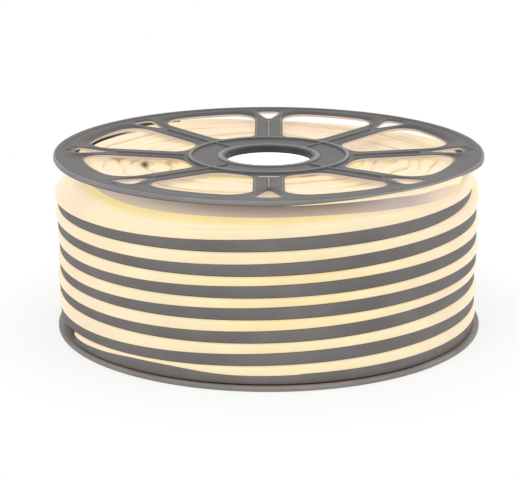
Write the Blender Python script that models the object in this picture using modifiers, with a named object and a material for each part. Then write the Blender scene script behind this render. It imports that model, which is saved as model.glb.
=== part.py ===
"""A full reel of neon flex strip: two moulded flanges, a core tube and the wound strip.

Units are metres, +Z is the reel's axis, and the reel stands on its lower flange at z = 0.
The viewer of the reference view looks along +Y.
"""
import math

import bmesh
import bpy
from mathutils import Matrix, Vector

MM = 0.001

# Reel
REEL_RADIUS = 160 * MM
REEL_HEIGHT = 134 * MM
FIT_GAP = 0.3 * MM              # between any two pieces that touch
OVERLAP = 1.0 * MM              # how far joined shapes run into each other

# Flange, one moulding used at both ends; depths are measured from the bead's crest
BEAD_WIDTH = 5.0 * MM
BEAD_RISE = 1.6 * MM
BEAD_EDGE = 1.2 * MM
PLATE_THICKNESS = 2.2 * MM
HUB_DROP = 4.6 * MM             # how far the hub lies inward of the rim
HUB_MARGIN = 4.0 * MM           # flat round the hub, outside the ring's middle
RIM_WIDTH = 9.0 * MM            # flat band outside the dish, the bead among it
BORE_RADIUS = 32.8 * MM
COLLAR_WALL = 2.6 * MM
COLLAR_DEPTH = 5.4 * MM
RING_RADIUS = 59.0 * MM
RING_WIDTH = 3.2 * MM
RING_RISE = 1.8 * MM
SPIGOT_LENGTH = 5.0 * MM
SPIGOT_WALL = 2.4 * MM
FLANGE_STEPS = 48

# Spokes and windows
SPOKES = 8
SPOKE_WIDTH = 22.4 * MM
WINDOW_FOOT = 1.0 * MM          # from the hub's flat to the window
WINDOW_MARGIN = 21.5 * MM       # from the window to the reel's edge
WINDOW_INNER_FILLET = 14.0 * MM
WINDOW_OUTER_FILLET = 16.0 * MM
WINDOW_ARC = (-1.0, -0.35, 0.0, 0.35, 1.0)   # points along the outer edge, as shares of its half
FORK_MARGIN = 15.0 * MM
FORK_LENGTH = 27.0 * MM
FORK_WIDTH = 21.0 * MM
FORK_FILLET = 4.0 * MM
RIB_WIDTH = 2.4 * MM
RIB_RISE = 1.0 * MM
RIB_STOP = 3.5 * MM             # the rib ends this far short of the fork
LONG_RIB_REACH = 18.0 * MM      # the four diagonal ribs run on over the hub, this far inside its ring
SLOT_FOOT = 2.0 * MM            # from the hub's flat to the slot
SLOT_WIDTH = 15.0 * MM
SLOT_LENGTH = 6.0 * MM
SLOT_FILLET = 1.5 * MM

# Core tube
CORE_RADIUS = 60.0 * MM
CORE_WALL = 3.0 * MM

# Strip: 8 mm through the roll, 16 mm along the reel's axis, the lit dome on the upper edge
STRIP_WIDTH = 8.0 * MM
STRIP_HEIGHT = 16.0 * MM
CHANNEL_HEIGHT = 8.9 * MM
DOME_BULGE = 1.0 * MM
DOME_CROWN = 1.6 * MM
DOME_PEAK = 0.35                # share of its height at which the dome is fullest
WINDING_INSET = 3.0 * MM        # the outer layer stands back from the flange's edge
LAYER_STEP = 8.1 * MM

# Winding
SEGMENTS = 36                   # around one turn
TURN_CLEARANCE = 6.0 * MM       # least room left over the outer layer's whole turns
OUTER_START = math.radians(200)
FRONT_ANGLE = math.radians(270)
FIRST_TURN_RISE = -1.3 * MM     # height of the first turn's underside at the front, over the floor
SWAY = 1.3 * MM                 # the turns rise in two easy steps instead of evenly
SWAY_ANGLE = math.radians(268)
LIT_DEPTH = 26.0 * MM           # from the reel's top to where the lit top edges begin
HEADROOM = 5.9 * MM             # from the flange to the top edges, on average
HEADROOM_SWAY = 2.3 * MM
TOP_RIDGE = 2.6 * MM
RIM_LIFT = 2.4 * MM             # the outermost ridges stand this much higher at the front

# The last turn: its lit side faces out, and it stands up level with the roll's end
LAST_TURN = math.radians(155)   # where the side starts to roll out, counted around the reel
ROLL_OUT = math.radians(40)     # and how far round it takes
LAST_DEPTH = 12.4 * MM          # from the reel's top to the last turn's upper edge
LAST_BULGE = 1.6 * MM
BULGE_FADE = math.radians(80)
STRIP_END = math.radians(150)   # the strip's free end, behind on the left

# Worked out from the sizes above
RIM_FACE = BEAD_RISE
RIM_BACK = BEAD_RISE + PLATE_THICKNESS
CONE_RADIUS = REEL_RADIUS - RIM_WIDTH
HUB_RADIUS = RING_RADIUS + HUB_MARGIN
LONG_RIB_START = RING_RADIUS - LONG_RIB_REACH
SLOT_RADIUS = HUB_RADIUS + SLOT_FOOT + SLOT_LENGTH / 2
WINDOW_INNER = HUB_RADIUS + WINDOW_FOOT
WINDOW_OUTER = REEL_RADIUS - WINDOW_MARGIN
FORK_BASE = REEL_RADIUS - FORK_MARGIN
FORK_APEX = FORK_BASE - FORK_LENGTH
RIB_END = FORK_APEX - RIB_STOP
HUB_FACE = BEAD_RISE + HUB_DROP
HUB_BACK = HUB_FACE + PLATE_THICKNESS
CORE_INNER = CORE_RADIUS - CORE_WALL
SPIGOT_RADIUS = CORE_INNER - FIT_GAP
WINDING_RADIUS = REEL_RADIUS - WINDING_INSET
OUTER_LAYER_INNER = WINDING_RADIUS - STRIP_WIDTH
BODY_RADIUS = OUTER_LAYER_INNER - FIT_GAP
BODY_INNER = CORE_RADIUS + FIT_GAP
STEP = 2 * math.pi / SEGMENTS
INNER_TOP = REEL_HEIGHT - LIT_DEPTH
LAST_TOP = REEL_HEIGHT - LAST_DEPTH
OUTER_TURNS = int((REEL_HEIGHT - 2 * RIM_BACK - TURN_CLEARANCE) / STRIP_HEIGHT)
OUTER_SWEEP = OUTER_TURNS * 2 * math.pi + STRIP_END - OUTER_START
ROLL_START = OUTER_SWEEP + LAST_TURN - STRIP_END - 2 * math.pi
COPLANAR = 1e-5


def clear_scene():
    for thing in list(bpy.data.objects):
        bpy.data.objects.remove(thing, do_unlink=True)


def collection(name):
    group = bpy.data.collections.new(name)
    bpy.context.scene.collection.children.link(group)
    return group


def material(name, colour, roughness, glow=0.0):
    made = bpy.data.materials.new(name)
    made.use_nodes = True
    shader = made.node_tree.nodes["Principled BSDF"]
    shader.inputs["Base Color"].default_value = (*colour, 1.0)
    shader.inputs["Roughness"].default_value = roughness
    shader.inputs["Emission Color"].default_value = (*colour, 1.0)
    shader.inputs["Emission Strength"].default_value = glow
    made.diffuse_color = (*colour, 1.0)
    return made


def mesh_object(name, mesh, group):
    made = bpy.data.objects.new(name, mesh)
    group.objects.link(made)
    return made


def turned(name, profile, steps, group):
    """A closed profile of (radius, height) points, turned once about Z."""
    bm = bmesh.new()
    points = [bm.verts.new((radius, 0.0, height)) for radius, height in profile]
    for start, end in zip(points, points[1:] + points[:1]):
        bm.edges.new((start, end))
    mesh = bpy.data.meshes.new(name)
    bm.to_mesh(mesh)
    bm.free()
    made = mesh_object(name, mesh, group)
    screw = made.modifiers.new("Turn", 'SCREW')
    screw.axis = 'Z'
    screw.steps = steps
    screw.render_steps = steps
    screw.use_merge_vertices = True
    screw.merge_threshold = COPLANAR
    return made


def bake(thing):
    """Applies the modifiers, so that the shape can be joined or cut further."""
    bpy.context.view_layer.update()
    evaluated = thing.evaluated_get(bpy.context.evaluated_depsgraph_get())
    mesh = bpy.data.meshes.new_from_object(evaluated)
    thing.modifiers.clear()
    old = thing.data
    thing.data = mesh
    bpy.data.meshes.remove(old)
    return thing


def combine(thing, other, operation):
    """Joins the other mesh to this one, or cuts it out, and removes the other."""
    boolean = thing.modifiers.new("Combine", 'BOOLEAN')
    boolean.operation = operation
    boolean.solver = 'EXACT'
    boolean.object = other
    bake(thing)
    bpy.data.objects.remove(other, do_unlink=True)


def rounded_outline(corners, steps):
    """Corner points (x, y, fillet radius) to an outline with an arc at each rounded corner."""
    outline = []
    count = len(corners)
    for index, (x, y, radius) in enumerate(corners):
        here = Vector((x, y))
        if radius == 0.0:
            outline.append(here)
            continue
        before = (Vector(corners[index - 1][:2]) - here).normalized()
        after = (Vector(corners[(index + 1) % count][:2]) - here).normalized()
        half = before.angle(after) / 2
        centre = here + (before + after).normalized() * (radius / math.sin(half))
        start = here + before * (radius / math.tan(half)) - centre
        end = here + after * (radius / math.tan(half)) - centre
        sweep = start.angle_signed(end)
        for step in range(steps + 1):
            outline.append(centre + Matrix.Rotation(-sweep * step / steps, 2) @ start)
    return outline


def prism(name, outline, low, high, turn, group):
    """An upright block with the given outline, turned about Z, as a closed mesh."""
    curve = bpy.data.curves.new(name, 'CURVE')
    curve.dimensions = '2D'
    curve.fill_mode = 'BOTH'
    curve.extrude = (high - low) / 2
    spline = curve.splines.new('POLY')
    spline.points.add(len(outline) - 1)
    for point, (x, y) in zip(spline.points, outline):
        point.co = (x, y, 0.0, 1.0)
    spline.use_cyclic_u = True
    sketch = mesh_object(name + "_sketch", curve, group)
    sketch.matrix_world = Matrix.Rotation(turn, 4, 'Z') @ Matrix.Translation((0, 0, (low + high) / 2))
    bpy.context.view_layer.update()
    evaluated = sketch.evaluated_get(bpy.context.evaluated_depsgraph_get())
    made = mesh_object(name, bpy.data.meshes.new_from_object(evaluated), group)
    made.matrix_world = sketch.matrix_world.copy()
    bpy.data.objects.remove(sketch, do_unlink=True)
    bm = bmesh.new()
    bm.from_mesh(made.data)
    bmesh.ops.remove_doubles(bm, verts=bm.verts, dist=COPLANAR)
    bmesh.ops.recalc_face_normals(bm, faces=bm.faces)
    bm.to_mesh(made.data)
    bm.free()
    made.hide_render = True
    made.display_type = 'WIRE'
    return made


def loft(name, sections, group):
    """A closed solid through a row of like sections, with a cap at each end."""
    bm = bmesh.new()
    rings = [[bm.verts.new(point) for point in section] for section in sections]
    for ring, following in zip(rings, rings[1:]):
        for index in range(len(ring)):
            other = index - 1
            bm.faces.new((ring[other], ring[index], following[index], following[other]))
    bm.faces.new(rings[0])
    bm.faces.new(list(reversed(rings[-1])))
    bmesh.ops.recalc_face_normals(bm, faces=bm.faces)
    mesh = bpy.data.meshes.new(name)
    bm.to_mesh(mesh)
    bm.free()
    return mesh_object(name, mesh, group)


def finish(thing, name, finish_material, group):
    """Names a finished piece, shades it smooth and gives it its material."""
    for owner in list(thing.users_collection):
        owner.objects.unlink(thing)
    group.objects.link(thing)
    thing.name = name
    thing.data.name = name
    thing.hide_render = False
    thing.display_type = 'TEXTURED'
    thing.data.materials.clear()
    thing.data.materials.append(finish_material)
    thing.data.shade_smooth()
    thing.data.set_sharp_from_angle(angle=math.radians(30))
    return thing


def flange_face(radius):
    """Depth of the flange's outer face below the bead's crest."""
    share = (CONE_RADIUS - radius) / (CONE_RADIUS - HUB_RADIUS)
    return RIM_FACE + HUB_DROP * min(max(share, 0.0), 1.0)


def flange_back(radius):
    """Depth of the flange's inner face below the bead's crest."""
    return flange_face(radius) + PLATE_THICKNESS


def window_outline():
    """A main window between two spokes, on the +X side, with its four corners rounded."""
    half_step = math.pi / SPOKES
    spoke_apex = SPOKE_WIDTH / 2 / math.sin(half_step)
    inner_half = (WINDOW_INNER - spoke_apex) * math.tan(half_step)
    edge_angle = half_step - math.asin(SPOKE_WIDTH / 2 / WINDOW_OUTER)
    corners = [(WINDOW_INNER, inner_half, WINDOW_INNER_FILLET),
               (WINDOW_INNER, -inner_half, WINDOW_INNER_FILLET)]
    for share in WINDOW_ARC:
        angle = edge_angle * share
        fillet = WINDOW_OUTER_FILLET if abs(share) == 1.0 else 0.0
        corners.append((WINDOW_OUTER * math.cos(angle), WINDOW_OUTER * math.sin(angle), fillet))
    return rounded_outline(corners, 4)


def fork_outline():
    """The small three-cornered window where a spoke forks at the rim."""
    return rounded_outline([(FORK_APEX, 0.0, FORK_FILLET / 2),
                            (FORK_BASE, -FORK_WIDTH / 2, FORK_FILLET),
                            (FORK_BASE, FORK_WIDTH / 2, FORK_FILLET)], 3)


def slot_outline():
    """The slot beside the hub for the strip's inner end."""
    near = SLOT_RADIUS - SLOT_LENGTH / 2
    far = SLOT_RADIUS + SLOT_LENGTH / 2
    side = SLOT_WIDTH / 2
    return rounded_outline([(near, side, SLOT_FILLET), (near, -side, SLOT_FILLET),
                            (far, -side, SLOT_FILLET), (far, side, SLOT_FILLET)], 2)


def rib(radii, turn, group):
    """A rib along a spoke, following the dished face through these radii."""
    top = [(radius, RIB_RISE - flange_face(radius)) for radius in radii]
    root = [(radius, -flange_face(radius) - PLATE_THICKNESS / 2) for radius in reversed(radii)]
    sides = [[(radius, side, height) for radius, height in top + root]
             for side in (-RIB_WIDTH / 2, RIB_WIDTH / 2)]
    made = loft("rib", sides, group)
    made.data.transform(Matrix.Rotation(turn, 4, 'Z'))
    return made


def flange_mesh(workshop):
    """The flange with its crest at z = 0 and its inner side downwards."""
    ring_foot = RING_WIDTH / 2
    ring_crest = RING_WIDTH / 5
    collar = BORE_RADIUS + COLLAR_WALL
    spigot_inner = SPIGOT_RADIUS - SPIGOT_WALL
    profile = [
        (BORE_RADIUS, -HUB_FACE),
        (RING_RADIUS - ring_foot, -HUB_FACE),
        (RING_RADIUS - ring_crest, RING_RISE - HUB_FACE),
        (RING_RADIUS + ring_crest, RING_RISE - HUB_FACE),
        (RING_RADIUS + ring_foot, -HUB_FACE),
        (HUB_RADIUS, -HUB_FACE),
        (CONE_RADIUS, -RIM_FACE),
        (REEL_RADIUS - BEAD_WIDTH, -RIM_FACE),
        (REEL_RADIUS - BEAD_WIDTH + BEAD_EDGE, 0.0),
        (REEL_RADIUS - BEAD_EDGE, 0.0),
        (REEL_RADIUS, -BEAD_EDGE),
        (REEL_RADIUS, -RIM_BACK + BEAD_EDGE / 2),
        (REEL_RADIUS - BEAD_EDGE / 2, -RIM_BACK),
        (CONE_RADIUS, -RIM_BACK),
        (HUB_RADIUS, -HUB_BACK),
        (SPIGOT_RADIUS, -HUB_BACK),
        (SPIGOT_RADIUS, -HUB_BACK - SPIGOT_LENGTH),
        (spigot_inner, -HUB_BACK - SPIGOT_LENGTH),
        (spigot_inner, -HUB_BACK),
        (collar, -HUB_BACK),
        (collar, -HUB_FACE - COLLAR_DEPTH),
        (BORE_RADIUS, -HUB_FACE - COLLAR_DEPTH),
    ]
    made = bake(turned("flange_blank", profile, FLANGE_STEPS, workshop))
    spacing = 2 * math.pi / SPOKES
    low = -HUB_BACK - OVERLAP
    high = OVERLAP
    slot = prism("slot", slot_outline(), low, high, FRONT_ANGLE, workshop)
    combine(made, slot, 'DIFFERENCE')
    for index in range(SPOKES):
        spoke_turn = index * spacing + FRONT_ANGLE
        window = prism("window", window_outline(), low, high, spoke_turn + spacing / 2, workshop)
        combine(made, window, 'DIFFERENCE')
        fork = prism("fork", fork_outline(), low, high, spoke_turn, workshop)
        combine(made, fork, 'DIFFERENCE')
    for index in range(SPOKES):
        starts = [LONG_RIB_START, HUB_RADIUS] if index % 2 else [HUB_RADIUS - OVERLAP]
        if index == 0:
            starts = [SLOT_RADIUS + SLOT_LENGTH / 2 + OVERLAP]
        combine(made, rib(starts + [RIB_END], index * spacing + FRONT_ANGLE, workshop), 'UNION')
    return made


def core_tube(workshop):
    """The tube that the strip is wound on, held between the two hubs."""
    low = HUB_BACK + FIT_GAP
    high = REEL_HEIGHT - HUB_BACK - FIT_GAP
    profile = [(CORE_INNER, high), (CORE_RADIUS, high), (CORE_RADIUS, low), (CORE_INNER, low)]
    return turned("core", profile, FLANGE_STEPS, workshop)


def turn_height(travel):
    """Height of the outer layer's underside after winding through this angle from its start."""
    angle = OUTER_START + travel
    even = (travel + OUTER_START - FRONT_ANGLE) / (2 * math.pi) * STRIP_HEIGHT
    return RIM_BACK + FIRST_TURN_RISE + even + SWAY * math.sin(2 * (angle - SWAY_ANGLE))


def around(angle, section):
    """Places (radius, height) points in the upright plane at this angle."""
    return [(radius * math.cos(angle), radius * math.sin(angle), height) for radius, height in section]


def channel_section(travel):
    """The opaque lower part of the strip; where it is buried it runs into the roll's body."""
    low = max(turn_height(travel), RIM_BACK + FIT_GAP)
    high = turn_height(travel) + CHANNEL_HEIGHT
    buried = high < INNER_TOP - FIT_GAP
    inner = BODY_RADIUS - OVERLAP if buried else OUTER_LAYER_INNER
    return [(inner, low), (WINDING_RADIUS, low), (WINDING_RADIUS, high), (inner, high)]


def ease(share):
    """Runs smoothly from 0 to 1 as the share does, and stays there outside it."""
    held = min(max(share, 0.0), 1.0)
    return held * held * (3 - 2 * held)


def dome_section(travel):
    """The lit upper part of the strip, fuller than the channel, and turned out at the last turn."""
    low = turn_height(travel) + CHANNEL_HEIGHT + FIT_GAP
    high = turn_height(travel) + STRIP_HEIGHT - FIT_GAP
    rolled = ease((travel - ROLL_START) / ROLL_OUT)
    faded = ease((travel - ROLL_START - ROLL_OUT) / BULGE_FADE)
    high += max(LAST_TOP - high, 0.0) * rolled
    outer = WINDING_RADIUS + DOME_BULGE + LAST_BULGE * rolled * (1 - faded)
    height = high - low
    slump = (outer - OUTER_LAYER_INNER - DOME_CROWN) * rolled
    joined = low > INNER_TOP + 2 * FIT_GAP
    inner = BODY_RADIUS - OVERLAP if joined else OUTER_LAYER_INNER
    return [(inner, low), (outer - DOME_BULGE, low), (outer, low + DOME_PEAK * height),
            (outer - DOME_BULGE / 2 - slump / 3, high - DOME_CROWN - slump / 2),
            (outer - DOME_BULGE - slump, high), (inner, high)]


def outer_layer(name, section, workshop):
    """One part of the strip, followed through all the turns of the outer layer."""
    steps = round(OUTER_SWEEP / STEP)
    sections = [around(OUTER_START + step * STEP, section(step * STEP)) for step in range(steps + 1)]
    return loft(name, sections, workshop)


def channel(workshop):
    """The strip's opaque channel, with the turns of the inner layers as one body."""
    profile = [(BODY_INNER, INNER_TOP), (BODY_RADIUS, INNER_TOP),
               (BODY_RADIUS, flange_back(BODY_RADIUS) + FIT_GAP),
               (HUB_RADIUS, HUB_BACK + FIT_GAP), (BODY_INNER, HUB_BACK + FIT_GAP)]
    made = bake(turned("inner_turns", profile, SEGMENTS, workshop))
    combine(made, outer_layer("outer_channel", channel_section, workshop), 'UNION')
    return made


def top_edge(radius, angle):
    """Height of the inner layers' lit top edges, which follow the flange above them."""
    front = (1 - math.sin(angle)) / 2
    rim_lift = RIM_LIFT * front * ease((radius - WINDOW_OUTER) / DOME_CROWN)
    headroom = HEADROOM + HEADROOM_SWAY * math.sin(angle) - rim_lift
    return REEL_HEIGHT - flange_back(radius) - headroom


def lit_top(workshop):
    """The lit edges of the inner layers' last turns: a row of round ridges about the core."""
    layers = round((BODY_RADIUS - BODY_INNER) / LAYER_STEP)
    step = (BODY_RADIUS - BODY_INNER) / layers
    low = INNER_TOP + FIT_GAP
    columns = []
    for index in range(SEGMENTS):
        angle = index * STEP
        section = [(BODY_INNER, low)]
        for layer in range(layers):
            inner = BODY_INNER + layer * step
            section.append((inner, top_edge(inner, angle) - TOP_RIDGE))
            section.append((inner + step / 2, top_edge(inner, angle)))
        section.append((BODY_RADIUS, top_edge(BODY_RADIUS, angle) - TOP_RIDGE / 2))
        section.append((BODY_RADIUS, low))
        columns.append(around(angle, section))
    bm = bmesh.new()
    rings = [[bm.verts.new(point) for point in section] for section in columns]
    for index, ring in enumerate(rings):
        before = rings[index - 1]
        for place in range(len(ring)):
            bm.faces.new((before[place - 1], before[place], ring[place], ring[place - 1]))
    bmesh.ops.recalc_face_normals(bm, faces=bm.faces)
    mesh = bpy.data.meshes.new("lit_top")
    bm.to_mesh(mesh)
    bm.free()
    return mesh_object("lit_top", mesh, workshop)


def diffuser(workshop):
    """The strip's lit dome: the outer layer's turns and the top edges of the layers inside."""
    made = lit_top(workshop)
    combine(made, outer_layer("outer_dome", dome_section, workshop), 'UNION')
    return made


def build():
    clear_scene()
    parts = collection("neon_flex_reel")
    workshop = collection("workshop")
    flange_grey = material("flange_grey", (0.22, 0.22, 0.215), 0.45)
    core_white = material("core_white", (0.86, 0.85, 0.82), 0.6)
    channel_grey = material("channel_grey", (0.23, 0.22, 0.215), 0.5)
    lit_cream = material("lit_cream", (1.0, 0.86, 0.60), 0.4, glow=0.6)

    reel = bpy.data.objects.new("reel", None)
    parts.objects.link(reel)
    lower = finish(flange_mesh(workshop), "lower_flange", flange_grey, parts)
    upper = mesh_object("upper_flange", lower.data, parts)
    upper.location = (0.0, 0.0, REEL_HEIGHT)
    lower.rotation_euler = (0.0, math.pi, 0.0)
    core = finish(core_tube(workshop), "core_tube", core_white, parts)
    wound_channel = finish(channel(workshop), "strip_channel", channel_grey, parts)
    wound_dome = finish(diffuser(workshop), "strip_diffuser", lit_cream, parts)
    for piece in (lower, upper, core, wound_channel, wound_dome):
        piece.parent = reel


build()
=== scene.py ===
"""Looks of a full reel of lit neon flex strip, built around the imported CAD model.

Metres, +Z along the reel's axis; the reel stands on its lower flange, and the viewer looks along +Y.
"""
import math

import bmesh
import bpy
import numpy as np
from mathutils import Matrix, Vector


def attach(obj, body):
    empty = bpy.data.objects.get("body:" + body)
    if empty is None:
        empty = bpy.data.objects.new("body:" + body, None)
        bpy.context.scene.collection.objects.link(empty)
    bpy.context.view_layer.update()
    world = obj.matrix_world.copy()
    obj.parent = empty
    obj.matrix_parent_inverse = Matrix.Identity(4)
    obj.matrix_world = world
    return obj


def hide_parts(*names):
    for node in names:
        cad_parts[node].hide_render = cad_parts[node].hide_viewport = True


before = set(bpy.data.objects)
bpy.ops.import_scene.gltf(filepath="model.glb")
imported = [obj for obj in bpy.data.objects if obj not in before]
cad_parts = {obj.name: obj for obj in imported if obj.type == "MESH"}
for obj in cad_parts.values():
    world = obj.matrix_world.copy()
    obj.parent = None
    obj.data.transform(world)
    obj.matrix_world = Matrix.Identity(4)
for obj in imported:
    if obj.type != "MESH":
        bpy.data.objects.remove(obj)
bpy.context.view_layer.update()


# The flange is one grey plastic moulding, used at both ends of the reel. A dished plate with eight
# spokes runs from a hub ring and its bore out to a rounded bead, with a soft lip round every opening.
# The short spigot on its back sits inside the end of the core tube.
MM = 0.001
REEL_RADIUS = 160 * MM
REEL_HEIGHT = 134 * MM
RIM_FACE = 0.8 * MM
HUB_FACE = 5.4 * MM
PLATE = 2.2 * MM
HUB_RADIUS = 63 * MM
CONE_RADIUS = 151 * MM
BORE_RADIUS = 32.8 * MM
BORE_LIP = 38.3 * MM
LIP_HALF = 3.1 * MM
LIP_RISE = 1.1 * MM
LIP_SINK = 0.4 * MM
LIP_INSET = 2.4 * MM
BORE_WALL_TOP = 2.0 * MM
COLLAR_DEPTH = 5.4 * MM
COLLAR_WALL = 2.6 * MM
COLLAR_TIP = 2 * MM
COLLAR_CHAMFER = 0.6 * MM
RING_RADIUS = 59 * MM
RING_HALF = 1.7 * MM
RING_RISE = 1.8 * MM
RING_FOOT = 5 * MM
BEAD_HALF = 3.4 * MM
BEAD_RISE = 1.6 * MM
BEAD_STEPS = 14
BEAD_SQUARENESS = 0.72
SPIGOT_RADIUS = 56.7 * MM
SPIGOT_WALL = 2.4 * MM
SPIGOT_LENGTH = 5 * MM
FLANGE_STEPS = 240
EDGE_LIP = 1.25 * MM
FRONT = 1.5 * math.pi
SPOKES = 8
SPOKE_SPACING = 2 * math.pi / SPOKES
SPOKE_WIDTH = 22.4 * MM


def flange_face(radius):
    """Depth of the outer face below the bead's crest: the plate is dished between hub and rim."""
    share = np.clip((CONE_RADIUS - radius) / (CONE_RADIUS - HUB_RADIUS), 0.0, 1.0)
    return RIM_FACE + (HUB_FACE - RIM_FACE) * share


def half_round(middle, half_width, base, rise, steps=8, power=1.0):
    """Points over a rounded rib or bead on a flat base, inside first; a power under 1 is squarer."""
    turns = np.linspace(math.pi, 0.0, steps + 1)
    return [(middle + half_width * math.copysign(abs(math.cos(t)) ** power, math.cos(t)),
             base + rise * abs(math.sin(t)) ** power) for t in turns]


def spun_faces(rings, points, closed_round=True):
    """Faces of a grid of rings, where each ring is a closed row of points."""
    faces = []
    for ring in range(rings if closed_round else rings - 1):
        here = ring * points
        there = (ring + 1) % rings * points
        for p in range(points):
            q = (p + 1) % points
            faces.append((here + p, here + q, there + q, there + p))
    return faces


def mesh_piece(name, points, faces, smooth_angle=35):
    """A smooth-shaded object from points and faces, with its normals facing outwards."""
    mesh = bpy.data.meshes.new(name)
    mesh.from_pydata([tuple(p) for p in points], [], faces)
    bm = bmesh.new()
    bm.from_mesh(mesh)
    bmesh.ops.recalc_face_normals(bm, faces=bm.faces)
    bm.to_mesh(mesh)
    bm.free()
    mesh.shade_smooth()
    mesh.set_sharp_from_angle(angle=math.radians(smooth_angle))
    piece = bpy.data.objects.new(name, mesh)
    bpy.context.scene.collection.objects.link(piece)
    return piece


def turned_piece(name, profile, steps):
    """A closed profile of (radius, height) points, turned once round the reel's axis."""
    angles = np.arange(steps) * 2 * math.pi / steps
    radius, height = np.array(profile).T
    points = np.stack([np.outer(np.cos(angles), radius), np.outer(np.sin(angles), radius),
                       np.tile(height, (steps, 1))], axis=-1).reshape(-1, 3)
    return mesh_piece(name, points, spun_faces(steps, len(profile)))


hub_back = -HUB_FACE - PLATE
collar_end = -HUB_FACE - COLLAR_DEPTH
bead = half_round(REEL_RADIUS - BEAD_HALF, BEAD_HALF, -BEAD_RISE, BEAD_RISE, BEAD_STEPS, BEAD_SQUARENESS)
bead_foot = [(REEL_RADIUS, -3.0 * MM), (REEL_RADIUS - 0.3 * MM, -3.6 * MM),
             (REEL_RADIUS - 0.9 * MM, -3.8 * MM)]
flange_profile = (
    [(BORE_RADIUS, collar_end), (BORE_RADIUS, -HUB_FACE - BORE_WALL_TOP)]
    + half_round(BORE_LIP - LIP_INSET, LIP_HALF, -HUB_FACE - LIP_SINK, LIP_RISE)
    + [(RING_RADIUS - RING_FOOT, -HUB_FACE)]
    + half_round(RING_RADIUS, RING_HALF, -HUB_FACE, RING_RISE)
    + [(HUB_RADIUS, -HUB_FACE),
       (0.5 * (HUB_RADIUS + CONE_RADIUS), -0.5 * (HUB_FACE + RIM_FACE)),
       (CONE_RADIUS, -RIM_FACE)]
    + [(radius, height) for radius, height in bead
       if height > -RIM_FACE or radius > REEL_RADIUS - 1 * MM]
    + bead_foot
    + [(CONE_RADIUS, -RIM_FACE - PLATE), (HUB_RADIUS, hub_back),
       (SPIGOT_RADIUS, hub_back), (SPIGOT_RADIUS, hub_back - SPIGOT_LENGTH),
       (SPIGOT_RADIUS - SPIGOT_WALL, hub_back - SPIGOT_LENGTH), (SPIGOT_RADIUS - SPIGOT_WALL, hub_back),
       (BORE_RADIUS + COLLAR_WALL, hub_back), (BORE_RADIUS + COLLAR_WALL, collar_end + COLLAR_CHAMFER),
       (BORE_RADIUS + COLLAR_TIP, collar_end)]
)
flange = turned_piece("flange", flange_profile, FLANGE_STEPS)


OUTLINE_SPACING = 1.8 * MM


def rounded_outline(corners, steps):
    """Corner points (x, y, fillet radius) to a closed outline with an arc at each rounded corner."""
    outline = []
    for index, (x, y, radius) in enumerate(corners):
        here = Vector((x, y))
        if radius == 0.0:
            outline.append(here)
            continue
        before = (Vector(corners[index - 1][:2]) - here).normalized()
        after = (Vector(corners[(index + 1) % len(corners)][:2]) - here).normalized()
        half = before.angle(after) / 2
        centre = here + (before + after).normalized() * (radius / math.sin(half))
        start = here + before * (radius / math.tan(half)) - centre
        end = here + after * (radius / math.tan(half)) - centre
        sweep = start.angle_signed(end)
        for step in range(steps + 1):
            outline.append(centre + Matrix.Rotation(-sweep * step / steps, 2) @ start)
    return even_outline(np.array([tuple(p) for p in outline]), OUTLINE_SPACING)


def even_outline(outline, spacing):
    """The same closed outline with its points evenly spaced along it."""
    closed = np.vstack([outline, outline[:1]])
    lengths = np.r_[0.0, np.cumsum(np.linalg.norm(np.diff(closed, axis=0), axis=1))]
    places = np.linspace(0.0, lengths[-1], round(lengths[-1] / spacing), endpoint=False)
    return np.stack([np.interp(places, lengths, closed[:, 0]),
                     np.interp(places, lengths, closed[:, 1])], axis=1)


WINDOW_INNER = 64 * MM
WINDOW_OUTER = 138.5 * MM
WINDOW_INNER_FILLET = 14 * MM
WINDOW_OUTER_FILLET = 16 * MM


def window_outline():
    """A window between two spokes, lying towards +X."""
    half = SPOKE_SPACING / 2
    spoke_apex = SPOKE_WIDTH / 2 / math.sin(half)
    inner_half = (WINDOW_INNER - spoke_apex) * math.tan(half)
    edge_angle = half - math.asin(SPOKE_WIDTH / 2 / WINDOW_OUTER)
    corners = [(WINDOW_INNER, inner_half, WINDOW_INNER_FILLET),
               (WINDOW_INNER, -inner_half, WINDOW_INNER_FILLET)]
    for share in (-1.0, *np.linspace(-0.5, 0.5, 9), 1.0):
        rounded = WINDOW_OUTER_FILLET if abs(share) == 1.0 else 0.0
        corners.append((WINDOW_OUTER * math.cos(edge_angle * share),
                        WINDOW_OUTER * math.sin(edge_angle * share), rounded))
    return rounded_outline(corners, 10)


FORK_APEX = 118 * MM
FORK_BASE = 145 * MM
FORK_HALF = 10.5 * MM
FORK_APEX_FILLET = 2 * MM
FORK_FILLET = 4 * MM
SLOT_INNER = 65 * MM
SLOT_OUTER = 71 * MM
SLOT_HALF = 7.5 * MM
SLOT_FILLET = 1.5 * MM
fork_outline = rounded_outline([(FORK_APEX, 0.0, FORK_APEX_FILLET),
                                (FORK_BASE, -FORK_HALF, FORK_FILLET),
                                (FORK_BASE, FORK_HALF, FORK_FILLET)], 6)
slot_outline = rounded_outline([(SLOT_INNER, SLOT_HALF, SLOT_FILLET), (SLOT_INNER, -SLOT_HALF, SLOT_FILLET),
                                (SLOT_OUTER, -SLOT_HALF, SLOT_FILLET),
                                (SLOT_OUTER, SLOT_HALF, SLOT_FILLET)], 5)
openings = [(slot_outline, FRONT)]
for spoke in range(SPOKES):
    openings.append((window_outline(), FRONT + (spoke + 0.5) * SPOKE_SPACING))
    openings.append((fork_outline, FRONT + spoke * SPOKE_SPACING))


def turned_outline(outline, angle):
    """The outline turned about the reel's axis."""
    c, s = math.cos(angle), math.sin(angle)
    return outline @ np.array([[c, s], [-s, c]])


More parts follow.
